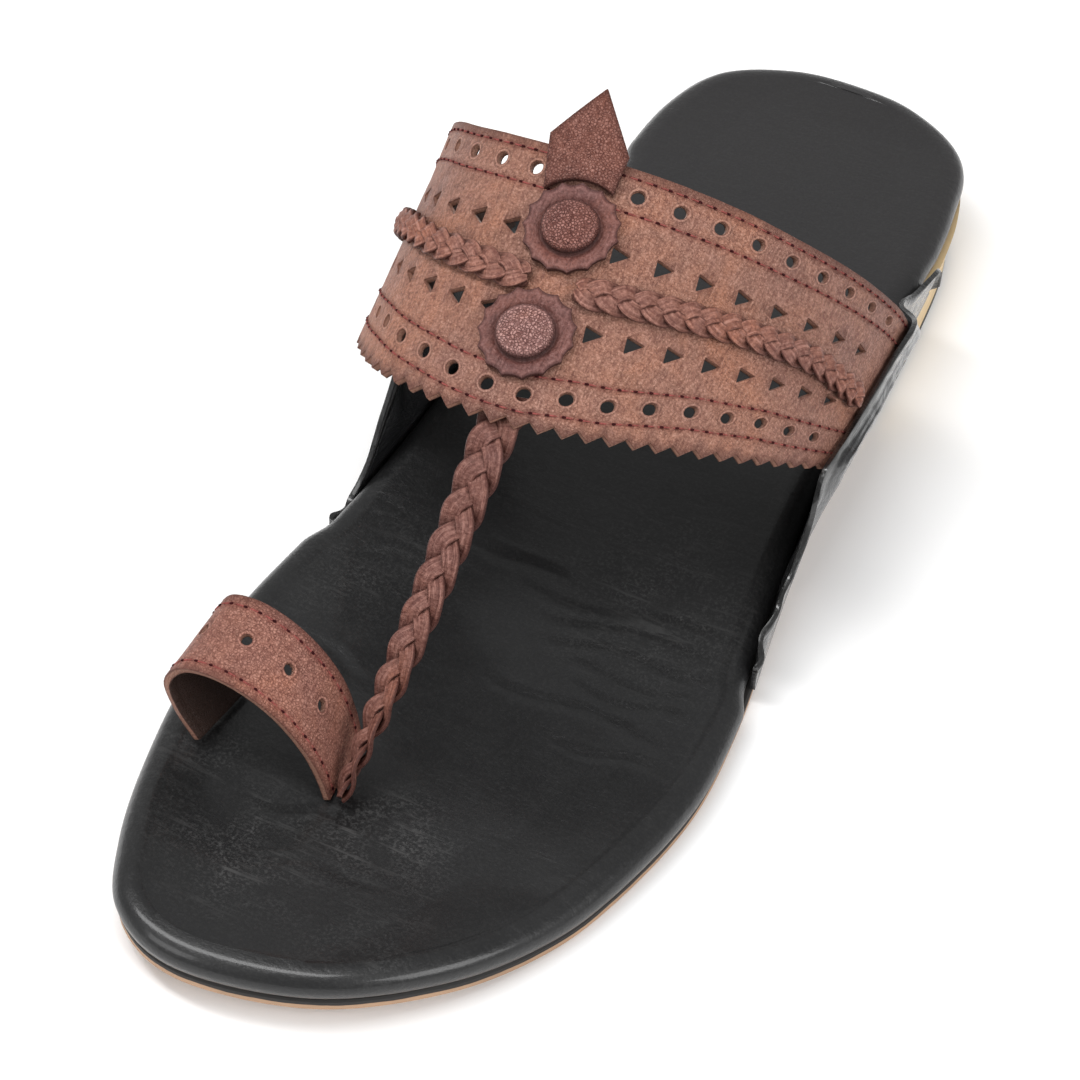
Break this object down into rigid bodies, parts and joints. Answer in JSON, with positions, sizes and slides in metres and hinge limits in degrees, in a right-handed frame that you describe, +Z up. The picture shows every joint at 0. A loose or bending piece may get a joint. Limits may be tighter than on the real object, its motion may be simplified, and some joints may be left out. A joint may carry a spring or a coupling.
{
  "type": "kolhapuri sandal",
  "caption": "Left kolhapuri sandal: low-heeled leather sole with a punched instep strap, braids, rosettes, toe plait and toe loop",
  "frame": {"origin": "middle of the bounding box, on the floor plane that the sole stands on", "axes": "+Z up, toe towards -Y, heel towards +Y, the foot's outer side towards +X"},
  "size_m": [0.1026, 0.2796, 0.0968],
  "materials": {
    "outsole_tan": "raw edge",
    "heel_cream": "smooth",
    "heel_base_dark": "matte",
    "insole_black": "satin",
    "wing_black": "satin",
    "strap_brown": "grained",
    "braid_brown": "grained",
    "rosette_plum": "pressed",
    "tab_red_brown": "pebbled"
  },
  "bodies": {
    "root": {"outsole": "outsole_tan", "heel_block": "heel_cream", "heel_top_piece": "heel_base_dark", "insole": "insole_black", "wing_lateral": "wing_black", "wing_medial": "wing_black", "instep_strap": "strap_brown", "instep_braid_lateral": "braid_brown", "instep_braid_medial": "braid_brown", "rosette_rear": "rosette_plum", "rosette_front": "rosette_plum", "button_rear": "rosette_plum", "button_front": "rosette_plum", "leaf_tab": "tab_red_brown", "toe_plait": "braid_brown", "toe_loop": "strap_brown"}
  },
  "joints": []
}
